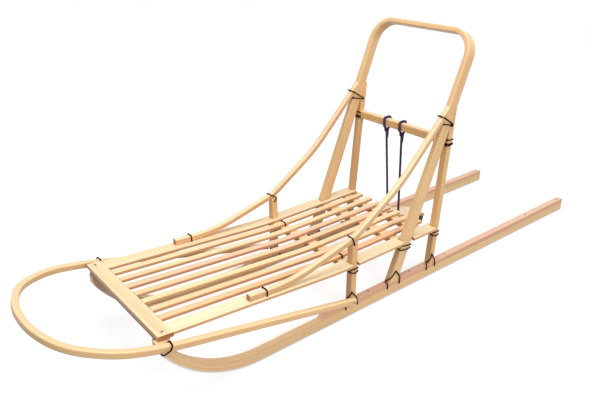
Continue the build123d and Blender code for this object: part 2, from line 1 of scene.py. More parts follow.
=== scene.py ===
# %% [markdown]
# # A child's lashed wooden sled
# The real object is a small basket sled: two long runners, posts that stand in them, steam-bent bows and a
# bed of thin slats, all held by mortises and dark cord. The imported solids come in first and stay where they
# are. Everything that this lesson adds is made round them, in metres, with the nose towards +X and the
# driver's left towards +Y.

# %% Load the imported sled
import math

import bmesh
import bpy
from mathutils import Matrix, Vector


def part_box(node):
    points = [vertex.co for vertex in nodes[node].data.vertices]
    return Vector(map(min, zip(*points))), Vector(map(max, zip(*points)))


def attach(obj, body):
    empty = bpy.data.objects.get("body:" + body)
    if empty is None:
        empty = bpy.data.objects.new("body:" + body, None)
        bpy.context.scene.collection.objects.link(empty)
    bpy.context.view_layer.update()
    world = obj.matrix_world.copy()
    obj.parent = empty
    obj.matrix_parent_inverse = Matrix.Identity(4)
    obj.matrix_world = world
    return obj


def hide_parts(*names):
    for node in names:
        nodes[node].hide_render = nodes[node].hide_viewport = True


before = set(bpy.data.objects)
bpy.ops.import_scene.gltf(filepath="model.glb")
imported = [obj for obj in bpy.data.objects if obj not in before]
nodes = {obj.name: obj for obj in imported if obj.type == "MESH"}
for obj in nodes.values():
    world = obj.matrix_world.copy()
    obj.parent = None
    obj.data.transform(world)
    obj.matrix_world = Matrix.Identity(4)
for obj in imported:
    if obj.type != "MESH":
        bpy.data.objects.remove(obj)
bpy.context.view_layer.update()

# %% [markdown]
# ## The places that the pieces share
# A dressed piece has to sit exactly on the wood that carries it. So the few sizes that set the sled's frame
# are written once here, measured from a mark at the rear posts, and one number moves them to the packed
# frame.

# %% Posts, bed and runners
runner_tail = 0.773  # from the runner's rear end to the mark at the rear posts
foot_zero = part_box("runner_left")[0].x + runner_tail
rail_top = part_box("runner_rail_left")[1].z
half_track = 0.2
outer_y, inner_y = 0.212, 0.188
bed_z = 0.17
bed_angle = math.radians(4.55)
bed_corner_x = 0.4124  # where the bed starts to rise towards the nose
post_foot = {"front": 0.3597, "bow": 0.185, "rear": 0.006}  # where each post's middle leaves the rail
post_lean = {"front": 0.035, "bow": 0.44, "rear": 0.12}  # how far it leans back per rise
post_depth = {"front": 0.022, "bow": 0.03933, "rear": 0.02}  # along the sled
sides = {"left": 1, "right": -1}


def at(x, y, z):
    """A point given from the mark at the rear posts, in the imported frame."""
    return Vector((foot_zero + x, y, z))


def moved_y(point, y):
    """The same point at another distance from the sled's middle."""
    return Vector((point.x, y, point.z))


def post_x(name, z):
    """Where a post's middle is at a height."""
    return post_foot[name] - post_lean[name] * (z - rail_top)


print("mark at", round(foot_zero, 4), "rail top at", round(rail_top, 4))

# %% [markdown]
# ## The camera
# The photograph is taken from ahead on the driver's left at chest height, looking down on the bed. A camera
# is its place, a direction and a focal length, so those are given as numbers and turned into the camera's
# three axes.

# %% Camera at the photograph's view
focal_px, photo_width = 644.8, 589
camera_place = at(1.4911, 1.4326, 1.1625)
yaw, pitch, roll = math.radians(233.03), math.radians(25.18), math.radians(-1.88)
ahead = Vector((math.cos(yaw) * math.cos(pitch), math.sin(yaw) * math.cos(pitch), -math.sin(pitch)))
level = ahead.cross(Vector((0, 0, 1))).normalized()
upright = level.cross(ahead)
right = level * math.cos(roll) + upright * math.sin(roll)
up = upright * math.cos(roll) - level * math.sin(roll)

camera_data = bpy.data.cameras.new("photo_camera")
camera_data.sensor_width = 36.0
camera_data.lens = camera_data.sensor_width * focal_px / photo_width
camera = bpy.data.objects.new("photo_camera", camera_data)
camera_axes = Matrix((right, up, -ahead)).transposed().to_4x4()
camera.matrix_world = Matrix.Translation(camera_place) @ camera_axes
bpy.context.scene.collection.objects.link(camera)
bpy.context.scene.camera = camera
bpy.context.scene.view_settings.view_transform = "Standard"
print("lens", round(camera_data.lens, 2), "mm")

# %% [markdown]
# ## One bench for every node tree
# Materials and Geometry Nodes are both trees of nodes. Wiring them by hand is long, so one small class adds
# a node from its type, its settings and its inputs, and another lets an output be used in plain Python
# arithmetic.


# %% Bench and wires
class Wire:
    """A node's output that takes part in Python expressions; each operation adds a Math node."""

    def __init__(self, bench, socket):
        self.bench = bench
        self.socket = socket

    def __add__(self, other):
        return self.bench.math("ADD", self, other)

    def __radd__(self, other):
        return self.bench.math("ADD", other, self)

    def __sub__(self, other):
        return self.bench.math("SUBTRACT", self, other)

    def __rsub__(self, other):
        return self.bench.math("SUBTRACT", other, self)

    def __mul__(self, other):
        return self.bench.math("MULTIPLY", self, other)

    def __rmul__(self, other):
        return self.bench.math("MULTIPLY", other, self)

    def __truediv__(self, other):
        return self.bench.math("DIVIDE", self, other)

    def __pow__(self, other):
        return self.bench.math("POWER", self, other)

    def twin(self, name):
        """Another output of the same node."""
        return Wire(self.bench, self.socket.node.outputs[name])


class Bench:
    """A node tree and the one way to add to it."""

    def __init__(self, tree):
        self.tree = tree

    def node(self, kind, settings=None, inputs=None, out=0):
        made = self.tree.nodes.new(kind)
        for name, value in (settings or {}).items():
            setattr(made, name, value)
        for key, value in (inputs or {}).items():
            socket = self.socket(made.inputs, key)
            if isinstance(value, Wire):
                self.tree.links.new(value.socket, socket)
            else:
                socket.default_value = value
        return Wire(self, self.socket(made.outputs, out)) if len(made.outputs) else made

    def socket(self, sockets, key):
        if isinstance(key, int):
            return sockets[key]
        return next(s for s in sockets if s.identifier == key or (s.name == key and s.enabled))

    def math(self, operation, *values):
        return self.node("ShaderNodeMath", {"operation": operation}, dict(enumerate(values)))

    def vector(self, x, y, z):
        return self.node("ShaderNodeCombineXYZ", {}, {"X": x, "Y": y, "Z": z})

    def parts(self, vector):
        """A vector's three numbers."""
        x = self.node("ShaderNodeSeparateXYZ", {}, {"Vector": vector}, out="X")
        return x, x.twin("Y"), x.twin("Z")

    def scale(self, vector, factor):
        return self.node("ShaderNodeVectorMath", {"operation": "SCALE"}, {"Vector": vector, "Scale": factor})

    def step(self, value, low, high):
        """A smooth step from 0 at low to 1 at high."""
        settings = {"interpolation_type": "SMOOTHSTEP"}
        return self.node("ShaderNodeMapRange", settings, {"Value": value, "From Min": low, "From Max": high})

    def mix(self, factor, first, second, blend="MIX"):
        settings = {"data_type": "RGBA", "blend_type": blend}
        inputs = {"Factor_Float": factor, "A_Color": first, "B_Color": second}
        return self.node("ShaderNodeMix", settings, inputs, out="Result_Color")

    def noise(self, vector, scale, detail, roughness=0.5):
        inputs = {"Vector": vector, "Scale": scale, "Detail": detail, "Roughness": roughness}
        return self.node("ShaderNodeTexNoise", {}, inputs, out="Fac")

    def bump(self, height, strength, distance):
        inputs = {"Strength": strength, "Distance": distance, "Height": height}
        return self.node("ShaderNodeBump", {}, inputs)

    def spot(self):
        """The place on the piece, which is its place on the sled."""
        return self.node("ShaderNodeTexCoord", out="Object")


def as_light(value):
    """One channel of a picture, 0 to 255, as an amount of light: the sRGB curve undone."""
    share = value / 255
    return ((share + 0.055) / 1.055) ** 2.4 if value > 10 else share / 12.92


def colour(red, green, blue):
    """A colour written as 0 to 255, as a picture shows it, turned into light."""
    return as_light(red), as_light(green), as_light(blue), 1.0


def new_material(title):
    """A material, its bench and its surface shader."""
    material = bpy.data.materials.new(title)
    material.use_nodes = True
    bench = Bench(material.node_tree)
    return material, bench, material.node_tree.nodes["Principled BSDF"]


def feed(bench, shader, **inputs):
    """Links or sets the surface shader's inputs, written with _ for the spaces in their names."""
    for name, value in inputs.items():
        socket = shader.inputs[name.replace("_", " ")]
        if isinstance(value, Wire):
            bench.tree.links.new(value.socket, socket)
        else:
            socket.default_value = value


print("bench ready")

# %% [markdown]
# ## Light and floor
# The picture is a plain studio cut-out: soft light from above, a little from the driver's left, and white
# all round. A wide lamp overhead and an even world give that. The floor glows only where the camera or a
# shine looks at it, so it seems white without lighting the sled, and its own grey still takes a soft shadow.


# %% World and lamps
def plain_grey(value):
    return value, value, value, 1.0


def looked_at(bench):
    """1 for what the camera or a shine sees, 0 for the light that falls on things."""
    seen = bench.node("ShaderNodeLightPath", out="Is Camera Ray")
    return bench.math("MAXIMUM", seen, seen.twin("Is Glossy Ray"))


white, black = plain_grey(1.0), plain_grey(0.0)
world_fill = 0.38
world = bpy.data.worlds.new("studio")
world.use_nodes = True
bpy.context.scene.world = world
air = Bench(world.node_tree)
strength = looked_at(air) * (1.0 - world_fill) + world_fill
background = air.tree.nodes["Background"]
background.inputs["Color"].default_value = white
air.tree.links.new(strength.socket, background.inputs["Strength"])


def add_lamp(title, place, target, size, watts):
    data = bpy.data.lights.new(title, "AREA")
    data.shape = "DISK"
    data.size = size
    data.energy = watts
    data.color = warm_white
    lamp = bpy.data.objects.new(title, data)
    lamp.location = place
    lamp.rotation_mode = "QUATERNION"
    lamp.rotation_quaternion = (Vector(target) - Vector(place)).to_track_quat("-Z", "Y")
    bpy.context.scene.collection.objects.link(lamp)


warm_white = (1.0, 0.98, 0.95)
add_lamp("overhead", place=(0.5, 0.3, 3.2), target=(0.1, 0.0, 0.1), size=2.2, watts=66.0)
add_lamp("near_side", place=(0.3, 3.1, 1.9), target=(0.0, 0.0, 0.2), size=1.8, watts=56.0)
print("lamps placed")

# %% Floor
floor_half, floor_grey, floor_glow = 20.0, 0.34, 0.78
fade_from, fade_to = 1.3, 2.4  # distances from the middle between which the floor turns plain white
floor_mesh = bpy.data.meshes.new("floor")
floor_corners = [(x * floor_half, y * floor_half, 0.0) for x, y in ((-1, -1), (1, -1), (1, 1), (-1, 1))]
floor_mesh.from_pydata(floor_corners, [], [(0, 1, 2, 3)])
floor = bpy.data.objects.new("floor", floor_mesh)
bpy.context.scene.collection.objects.link(floor)
floor_finish, bench, shader = new_material("pale_floor")
x, y = bench.parts(bench.spot())[:2]
away = bench.step(bench.math("SQRT", x * x + y * y), fade_from, fade_to)
base = bench.mix(away, plain_grey(floor_grey), black)
feed(bench, shader, Base_Color=base, Roughness=0.9, Specular_IOR_Level=0.0)
glow = bench.mix(looked_at(bench), black, bench.mix(away, plain_grey(floor_glow), white))
feed(bench, shader, Emission_Color=glow, Emission_Strength=1.0)
floor_mesh.materials.append(floor_finish)
print("floor", 2 * floor_half, "m wide")

# %% [markdown]
# ## Varnished ash
# The wood is pale ash under a satin varnish: straight grain with fine growth rings, long soft streaks,
# short dark pores and a tone that drifts from straw to a light pink. A texture that ignores the grain's
# direction looks like paint, so every pattern is drawn in grain coordinates: along the piece, across it and
# through it. Painted shade makes the sides darker than the tops, and sawn ends soak up the varnish and go
# brown.

# %% Wood finish
grain_scales = {
    # pattern: scale along the grain and across it, per metre, and detail
    "drift": (1.3, 9.0, 2.0),
    "warmth": (0.9, 26.0, 2.0),
    "streak": (1.8, 130.0, 4.0),
    "fibre": (14.0, 1400.0, 2.0),
    "pore": (55.0, 2300.0, 0.0),
}
rings_per_metre, ring_waver = 410.0, 0.009
upwards = (0.0, 0.0, 1.0)
sawn_tint = colour(178, 138, 116)


def grain_noise(bench, grain, along_scale, across_scale, detail):
    """Noise drawn out along the grain; the scales are per metre."""
    along, across, through = grain
    spot = bench.vector(along * along_scale, across * across_scale, through * across_scale)
    return bench.noise(spot, 1.0, detail, roughness=0.55)


def facing(bench, direction):
    """How far the surface faces a direction, from -1 to 1."""
    normal = bench.node("ShaderNodeNewGeometry", out="Normal")
    settings = {"operation": "DOT_PRODUCT"}
    return bench.node("ShaderNodeVectorMath", settings, {0: normal, 1: direction}, out="Value")


def varnished_wood(title, grain_of, seed, tones, blush_share, ends=None, painted_shade_share=0.8, painted_top_light=None):
    """Ash or a like wood whose grain runs where grain_of says, with sawn ends where ends says."""
    light, deep, blush, painted_side_shade = tones
    material, bench, shader = new_material(title)
    along, across, through = grain_of(bench)
    # each seed starts elsewhere in the patterns and has the tree's pith elsewhere beside the stick
    grain = (along + seed * 3.7, across + seed * 0.61, through)
    drift = grain_noise(bench, grain, *grain_scales["drift"])
    warmth = grain_noise(bench, (grain[0] + 9.0, across, through), *grain_scales["warmth"])
    streak = grain_noise(bench, grain, *grain_scales["streak"])
    fibre = grain_noise(bench, grain, *grain_scales["fibre"])
    pith_across = across + 0.05 + 0.013 * (seed % 4)
    pith_through = through + 0.07 + 0.011 * (seed % 3)
    ring = bench.math("SQRT", pith_across * pith_across + pith_through * pith_through)
    ring = ring + (drift - 0.5) * ring_waver
    early = (1.0 - bench.math("FRACT", ring * rings_per_metre)) ** 3.0
    pores = bench.step(grain_noise(bench, grain, *grain_scales["pore"]), 0.6, 0.7) * early
    tone = 0.16 + (streak - 0.5) * 1.35 + (drift - 0.5) * 0.8 + early * 0.14
    tone = tone + pores * 0.35 + (fibre - 0.5) * 0.2
    body = bench.mix(bench.math("MINIMUM", bench.math("MAXIMUM", tone, 0.0), 1.0), light, deep)
    body = bench.mix(bench.step(warmth, 0.42, 0.68) * blush_share, body, blush)
    # painted shade: faces that don't point up are darkened by the sides' tint
    side = 1.0 - bench.step(facing(bench, upwards), 0.2, 0.9)
    body = bench.mix(side * painted_shade_share, body, painted_side_shade, blend="MULTIPLY")
    # painted sky light: upward faces take the top tone when one is given
    if painted_top_light:
        body = bench.mix((1.0 - side) * 0.6, body, painted_top_light)
    if ends:
        body = bench.mix(ends(bench) * 0.7, body, sawn_tint, blend="MULTIPLY")
    bump = bench.bump(fibre * 0.5 - early * 0.35 - pores, strength=0.25, distance=0.0003)
    feed(bench, shader, Base_Color=body, Roughness=0.42 + (fibre - 0.5) * 0.2 + early * 0.06, Normal=bump)
    feed(bench, shader, Coat_Weight=0.1, Coat_Roughness=0.25)
    return material


# each set: light tone, deep tone, blush and the painted shade of the sides
pale_ash = (colour(250, 227, 185), colour(216, 168, 114), colour(242, 201, 158), colour(214, 172, 136))
side_ash = (colour(253, 236, 198), colour(226, 184, 130), colour(246, 212, 168), pale_ash[3])
bent_ash = (colour(247, 219, 172), colour(211, 163, 108), colour(238, 192, 146), colour(243, 220, 192))
# painted shade: darker tones for the board that lies in shadow under the nose board
under_board_painted_shade = (colour(192, 138, 98), colour(132, 86, 56), colour(172, 116, 88), pale_ash[3])
rail_wood = (colour(245, 206, 166), colour(200, 146, 108), colour(224, 166, 136), colour(240, 214, 192))
# painted sky light: a pinker tone for the rails' upward faces
rail_painted_top_light = colour(242, 202, 178)
print("wood ready")

# %% [markdown]
# ## Where the grain runs
# Straight sticks carry their grain along one axis. The bent ones were straight before the steam box, so the
# grain follows the bend. A few lines of shader maths unroll each bend: the length along the arc takes the
# place of an axis, and the distance from the arc's centre takes the place of another.


# %% Grain directions
def grain_across_sled(bench):
    x, y, z = bench.parts(bench.spot())
    return y, x, z


def grain_up_post(lean):
    def grain_of(bench):
        x, y, z = bench.parts(bench.spot())
        slant = math.hypot(1.0, lean)
        return (z - x * lean) / slant, (x + z * lean) / slant, y

    return grain_of


def grain_along_bed(bench):
    x, y, z = bench.parts(bench.spot())
    past = bench.math("MAXIMUM", x - (foot_zero + bed_corner_x), 0.0)
    return x, y, z - past * math.tan(bed_angle)


def grain_along_runner(bench):
    """Along the floor, then round the bend of the runner's nose."""
    radius, bend_start = 0.349, 0.7
    x, y, z = bench.parts(bench.spot())
    bend_x = foot_zero + bend_start
    past = bench.math("MAXIMUM", x - bend_x, 0.0)
    under = radius - z
    turned = bench.math("ARCTAN2", past, under)
    along = bench.math("MINIMUM", x, bend_x) + turned * radius
    return along, bench.math("SQRT", past * past + under * under), y


def grain_round_bow(bench):
    """Up one leg of the driving bow, round its corners and down the other leg."""
    corner_y, corner_rise, radius = 0.13, 0.7308, 0.074
    lean = post_lean["bow"]
    x, y, z = bench.parts(bench.spot())
    slant = math.hypot(1.0, lean)
    back, high = x - (foot_zero + post_foot["bow"]), z - rail_top
    rise = (high - back * lean) / slant
    through = (back + high * lean) / slant
    out = bench.math("ABSOLUTE", y) - corner_y
    over = rise - corner_rise
    out_past, over_past = bench.math("MAXIMUM", out, 0.0), bench.math("MAXIMUM", over, 0.0)
    turned = bench.math("ARCTAN2", over_past, out_past)
    path = bench.math("MINIMUM", rise, corner_rise) + turned * radius - bench.math("MINIMUM", out, 0.0)
    half_path = corner_rise + math.pi / 2 * radius + corner_y
    across = bench.math("SQRT", out_past * out_past + over_past * over_past)
    return bench.math("SIGN", y) * (half_path - path), across, through


def grain_swept(bench):
    """The coordinates that a swept piece carries with it."""
    return bench.parts(bench.node("ShaderNodeAttribute", {"attribute_name": "grain"}, out="Vector"))


def ends_along(direction):
    """A mask of the sawn ends that face either way along a direction."""
    def ends(bench):
        return bench.step(bench.math("ABSOLUTE", facing(bench, direction)), 0.85, 0.97)

    return ends


def dress(node, material):
    """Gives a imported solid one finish."""
    mesh = nodes[node].data
    mesh.materials.clear()
    mesh.materials.append(material)


along_x, along_y = (1.0, 0.0, 0.0), (0.0, 1.0, 0.0)
sawn_along, sawn_across = ends_along(along_x), ends_along(along_y)
print("grain directions ready")

# %% [markdown]
# ## The wood that keeps its packed form
# Slats, crosspieces, posts, boards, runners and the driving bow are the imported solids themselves. Each gets
# its own copy of the finish, because no two sticks come from the same part of a board: some slats are
# yellower, one is pink and one is nearly orange.

# %% Finish of the bed slats
slat_tones = {
    # slat: light tone, blush, share of blush
    1: (colour(250, 226, 182), colour(240, 200, 152), 0.4),
    2: (colour(251, 228, 186), colour(240, 198, 156), 0.4),
    3: (colour(247, 216, 178), colour(236, 184, 154), 0.7),
    4: (colour(250, 221, 180), colour(238, 188, 152), 0.6),
    5: (colour(251, 228, 180), colour(240, 204, 150), 0.4),
    6: (colour(249, 222, 178), colour(236, 188, 144), 0.5),
    7: (colour(247, 210, 164), colour(236, 174, 128), 0.8),
}
for number, (light, blush, share) in slat_tones.items():
    tones = (light, pale_ash[1], blush, pale_ash[3])
    finish = varnished_wood(f"slat_{number}_ash", grain_along_bed, number, tones, share, sawn_along)
    dress(f"bed_slat_{number}", finish)
print("dressed", len(slat_tones), "bed slats")

# %% Finish of the sides
for name, seed in (("left", 11), ("right", 12)):
    finish = varnished_wood(f"side_slat_{name}_ash", grain_along_bed, seed, side_ash, 0.25, sawn_along)
    dress(f"side_slat_{name}", finish)
    for post in ("front", "rear"):
        up_post = grain_up_post(post_lean[post])
        finish = varnished_wood(f"{post}_post_{name}_ash", up_post, seed + 2, bent_ash, 0.7)
        dress(f"{post}_stanchion_{name}", finish)
    finish = varnished_wood(
        f"runner_{name}_ash", grain_along_runner, seed + 40, bent_ash, 0.3, painted_shade_share=0.4)
    dress(f"runner_{name}", finish)
    finish = varnished_wood(
        f"rail_{name}_wood", grain_along_runner, seed + 45, rail_wood, 0.8, sawn_along, 0.5, rail_painted_top_light)
    dress(f"runner_rail_{name}", finish)
print("dressed side slats, posts, runners and rails")

# %% Finish of the boards and the driving bow
boards = {
    # piece: seed, tones, share of blush
    "bed_crosspiece_front": (20, pale_ash, 0.5),
    "bed_crosspiece_middle": (21, pale_ash, 0.5),
    "bed_crosspiece_rear": (22, pale_ash, 0.4),
    "crossbar": (23, bent_ash, 0.3),
    "nose_board": (52, pale_ash, 0.25),
    # painted shade: the board under the nose takes the darkened tones
    "nose_under_board": (33, under_board_painted_shade, 0.6),
}
for board, (seed, tones, share) in boards.items():
    dress(board, varnished_wood(f"{board}_ash", grain_across_sled, seed, tones, share, sawn_across))
dress("brake_board", varnished_wood("brake_board_ash", grain_along_bed, 81, pale_ash, 0.3, sawn_along))
dress("driving_bow", varnished_wood("driving_bow_ash", grain_round_bow, 41, bent_ash, 0.75, painted_shade_share=0.5))
print("dressed", len(boards), "boards and bars, the brake board and the driving bow")

# %% [markdown]
# ## Sliding shoes and the brake's claw
# A white plastic strip is glued under each runner. It is smooth, with long fine scratches from sliding. The
# claw is plain dark steel with a dull, spotted skin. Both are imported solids, so a finish is all that they
# need.

# %% Shoe plastic and dark steel
shoe_plastic, bench, shader = new_material("shoe_plastic")
grain = grain_along_runner(bench)
scratch = bench.step(grain_noise(bench, grain, 6.0, 900.0, detail=3.0), 0.55, 0.75)
cloud = grain_noise(bench, grain, 8.0, 20.0, detail=2.0)
body = bench.mix(scratch * 0.35 + (cloud - 0.5) * 0.3, colour(236, 236, 244), colour(190, 188, 204))
bump = bench.bump(1.0 - scratch, strength=0.2, distance=0.0002)
feed(bench, shader, Base_Color=body, Roughness=0.32 + scratch * 0.2, Normal=bump)
for name in sides:
    dress(f"runner_shoe_{name}", shoe_plastic)


def spotted_steel(title, light, dark):
    """Steel whose skin is spotted by handling."""
    material, bench, shader = new_material(title)
    spot = bench.spot()
    stain = bench.noise(spot, 240.0, detail=4.0)
    grit = bench.noise(spot, 1500.0, detail=2.0)
    bump = bench.bump(grit, strength=0.3, distance=0.0002)
    feed(bench, shader, Base_Color=bench.mix(stain, dark, light), Metallic=0.8, Normal=bump)
    feed(bench, shader, Roughness=0.5 + (stain - 0.5) * 0.4)
    return material


claw_steel = spotted_steel("claw_steel", colour(92, 86, 84), colour(48, 42, 40))
screw_steel = spotted_steel("screw_steel", colour(156, 150, 148), colour(92, 88, 88))
dress("brake_claw", claw_steel)
print("dressed the shoes and the claw")

# %% [markdown]
# ## Pieces that follow a path
# Bent rods, lashings and ropes are all one idea: a section carried along a line. Each starts as a bare line
# of points with a bend radius at each point. A Geometry Nodes tree rounds the corners, carries the section
# along and leaves a plain mesh. Doing it by hand would take a curve object and its settings for each of
# some fifty cords.


# %% Lines and trees
def path_mesh(title, paths):
    """Bare lines; each path is its points, a bend radius for each and whether it closes on itself."""
    places, bends, edges = [], [], []
    for points, radii, closed in paths:
        first = len(places)
        places += points
        bends += radii
        edges += [(first + i, first + i + 1) for i in range(len(points) - 1)]
        if closed:
            edges.append((len(places) - 1, first))
    mesh = bpy.data.meshes.new(title)
    mesh.from_pydata(places, edges, [])
    mesh.attributes.new("bend", "FLOAT", "POINT").data.foreach_set("value", bends)
    return mesh


def route(corners, closed=False):
    """Points that each have their own bend radius, as a path."""
    return [point for point, bend in corners], [bend for point, bend in corners], closed


def start_tree(title, *sizes, **sockets):
    """A Geometry Nodes tree whose sizes are plain numbers; gives the tree, its bench and its input node."""
    tree = bpy.data.node_groups.new(title, "GeometryNodeTree")
    tree.interface.new_socket("Geometry", in_out="OUTPUT", socket_type="NodeSocketGeometry")
    tree.interface.new_socket("Geometry", in_out="INPUT", socket_type="NodeSocketGeometry")
    for name in sizes:
        tree.interface.new_socket(name, in_out="INPUT", socket_type="NodeSocketFloat")
    for name, kind in {**sockets, "Finish": "NodeSocketMaterial"}.items():
        tree.interface.new_socket(name, in_out="INPUT", socket_type=kind)
    bench = Bench(tree)
    return tree, bench, bench.node("NodeGroupInput")


def end_tree(bench, start, geometry):
    smooth = bench.node("GeometryNodeSetShadeSmooth", {}, {"Geometry": geometry})
    whole = bench.node("GeometryNodeRealizeInstances", {}, {"Geometry": smooth})
    done = bench.node("GeometryNodeSetMaterial", {}, {"Geometry": whole, "Material": start.twin("Finish")})
    bench.node("NodeGroupOutput", {}, {"Geometry": done})


def named(bench, name, kind="FLOAT"):
    settings = {"data_type": kind}
    return bench.node("GeometryNodeInputNamedAttribute", settings, {"Name": name}, out="Attribute")


def store(bench, geometry, name, value, kind="FLOAT"):
    settings = {"data_type": kind, "domain": "POINT"}
    inputs = {"Geometry": geometry, "Name": name, "Value": value}
    return bench.node("GeometryNodeStoreNamedAttribute", settings, inputs)


def rounded(bench, line, steps, radius):
    """A curve with its corners rounded in so many steps."""
    inputs = {"Curve": line, "Count": steps, "Radius": radius, "Limit Radius": True}
    return bench.node("GeometryNodeFilletCurve", {"mode": "POLY"}, inputs)


def rounded_line(bench, start, steps, spacing):
    """The input's line as a curve, its corners rounded and its points evenly spaced."""
    line = bench.node("GeometryNodeMeshToCurve", {}, {"Mesh": start})
    bent = rounded(bench, line, steps, named(bench, "bend"))
    return bench.node("GeometryNodeResampleCurve", {"mode": "LENGTH"}, {"Curve": bent, "Length": spacing})


def sweep(bench, line, section):
    """A section carried along a line, with its ends closed."""
    inputs = {"Curve": line, "Profile Curve": section, "Fill Caps": True}
    return bench.node("GeometryNodeCurveToMesh", {}, inputs)


print("tools for trees ready")


# %% Plain meshes
def grow(title, mesh, tree, settings):
    """Runs a tree on a line and keeps the result as a plain mesh."""
    piece = bpy.data.objects.new(title, mesh)
    bpy.context.scene.collection.objects.link(piece)
    modifier = piece.modifiers.new("grow", "NODES")
    modifier.node_group = tree
    for item in tree.interface.items_tree:
        if item.in_out == "INPUT" and item.name in settings:
            modifier[item.identifier] = settings[item.name]
    made = bpy.data.meshes.new_from_object(piece.evaluated_get(bpy.context.evaluated_depsgraph_get()))
    piece.modifiers.remove(modifier)
    piece.data = made
    return piece


def tidy_mesh(mesh, cut=None):
    """Turns faces outwards; cut, a point and a direction, first takes away what lies behind that plane."""
    shape = bmesh.new()
    shape.from_mesh(mesh)
    if cut:
        point, direction = cut
        everything = shape.verts[:] + shape.edges[:] + shape.faces[:]
        made = bmesh.ops.bisect_plane(
            shape, geom=everything, plane_co=point, plane_no=direction, clear_inner=True)
        rim = [part for part in made["geom_cut"] if isinstance(part, bmesh.types.BMEdge)]
        bmesh.ops.contextual_create(shape, geom=rim)
    bmesh.ops.recalc_face_normals(shape, faces=shape.faces[:])
    shape.to_mesh(mesh)
    shape.free()


def add_piece(piece, slot, *replaced):
    """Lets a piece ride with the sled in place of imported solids."""
    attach(piece, "root")
    if replaced:
        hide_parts(*replaced)


print("tools for swept pieces ready")

# %% [markdown]
# ## Handrails and brush bow
# These are rounded square rods, steamed and bent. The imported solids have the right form, but a plain solid
# can't carry grain round a bend. So the rods are swept again through their few corners, and each point of
# the mesh remembers how far along the rod it lies and where in the section, which is all that the wood
# finish needs. The brush bow's arms also come a little lower at their rear ends here than in the packed
# solid.

# %% Bent rod tree
rod_tree, bench, start = start_tree("bent_rod", "Rod", "Edge", Side="NodeSocketVector")
bend_steps, edge_steps, rod_spacing = 32, 4, 0.004
rod = start.twin("Rod")
line = rounded_line(bench, start, bend_steps, rod_spacing)
line = bench.node("GeometryNodeSetCurveNormal", {"mode": "FREE"}, {
    "Curve": line, "Normal": start.twin("Side")})
line = store(bench, line, "along", bench.node("GeometryNodeSplineParameter", out="Length"))
square = bench.node("GeometryNodeCurvePrimitiveQuadrilateral", {}, {"Width": rod, "Height": rod})
section = rounded(bench, square, edge_steps, start.twin("Edge"))
section = store(bench, section, "section", bench.node("GeometryNodeInputPosition"), "FLOAT_VECTOR")
swept = sweep(bench, line, section)
across, through = bench.parts(named(bench, "section", "FLOAT_VECTOR"))[:2]
swept = store(bench, swept, "grain", bench.vector(named(bench, "along"), across, through), "FLOAT_VECTOR")
end_tree(bench, start, swept)
print("rod tree has", len(rod_tree.nodes), "nodes")


# %% Handrails
def on_bed(x, y, height):
    """A point over the sloping front of the bed, at a height square to it."""
    u = (x - bed_corner_x + height * math.sin(bed_angle)) / math.cos(bed_angle)
    return at(x, y, bed_z + u * math.sin(bed_angle) + height * math.cos(bed_angle))


handrail_rod, handrail_edge, handrail_y = 0.018, 0.004, 0.204
handrail_half = handrail_rod / 2
side_slat_thickness = 0.01
handrail_seat = side_slat_thickness + handrail_half
handrail_top_z = 0.56
knee_radius = 0.15
bow_half_strip = 0.018
bow_slant = math.atan(post_lean["bow"])
bow_facing = Vector((math.cos(bow_slant), 0.0, math.sin(bow_slant)))
bow_front_x = post_x("bow", handrail_top_z) + bow_half_strip / math.cos(bow_slant)
sawn_reach = 0.0004
crisp_angle = math.radians(40)


def swept_ends(bench):
    """The rod's first end, where the length along it is nothing."""
    return bench.math("LESS_THAN", grain_swept(bench)[0], sawn_reach)


def handrail_line(y):
    """From the bed over the front post and up past the driving bow, where the cut takes the rest away."""
    sweep_low = at(0.165, y, 0.379)
    end = at(bow_front_x, y, handrail_top_z)
    corners = [
        # point, bend radius
        (on_bed(0.73, y, handrail_seat), 0.0),
        (on_bed(0.59, y, handrail_seat), 0.5),
        (at(0.35, y, 0.262), knee_radius),
        (sweep_low, 0.6),
        (end + (end - sweep_low).normalized() * 2 * bow_half_strip, 0.0),
    ]
    return route(corners)


for seed, (name, side) in enumerate(sides.items()):
    finish = varnished_wood(f"handrail_{name}_ash", grain_swept, 61 + seed, pale_ash, 0.3, swept_ends, 0.6)
    settings = {"Rod": handrail_rod, "Edge": handrail_edge, "Side": along_y, "Finish": finish}
    lines = path_mesh(f"handrail_{name}_line", [handrail_line(side * handrail_y)])
    rail = grow(f"bent_handrail_{name}", lines, rod_tree, settings)
    tidy_mesh(rail.data, (at(bow_front_x, 0.0, handrail_top_z), bow_facing))
    rail.data.set_sharp_from_angle(angle=crisp_angle)
    add_piece(rail, "ash", f"handrail_{name}")
    print(rail.name, len(rail.data.polygons), "faces")

# %% Brush bow
brush_rod, brush_edge = 0.019, 0.004
brush_tip_x, brush_tip_z = 0.985, 0.212
brush_slant = math.atan(0.232)
brush_front = 1.255
brush_side_y = 0.2569
brush_up = Vector((-math.sin(brush_slant), 0.0, math.cos(brush_slant)))


def on_brush(x, y, height=0.0):
    """A point in the brush bow's sloping plane, or at a height square to it."""
    return at(x, y, brush_tip_z + (x - brush_tip_x) * math.tan(brush_slant)) + brush_up * height


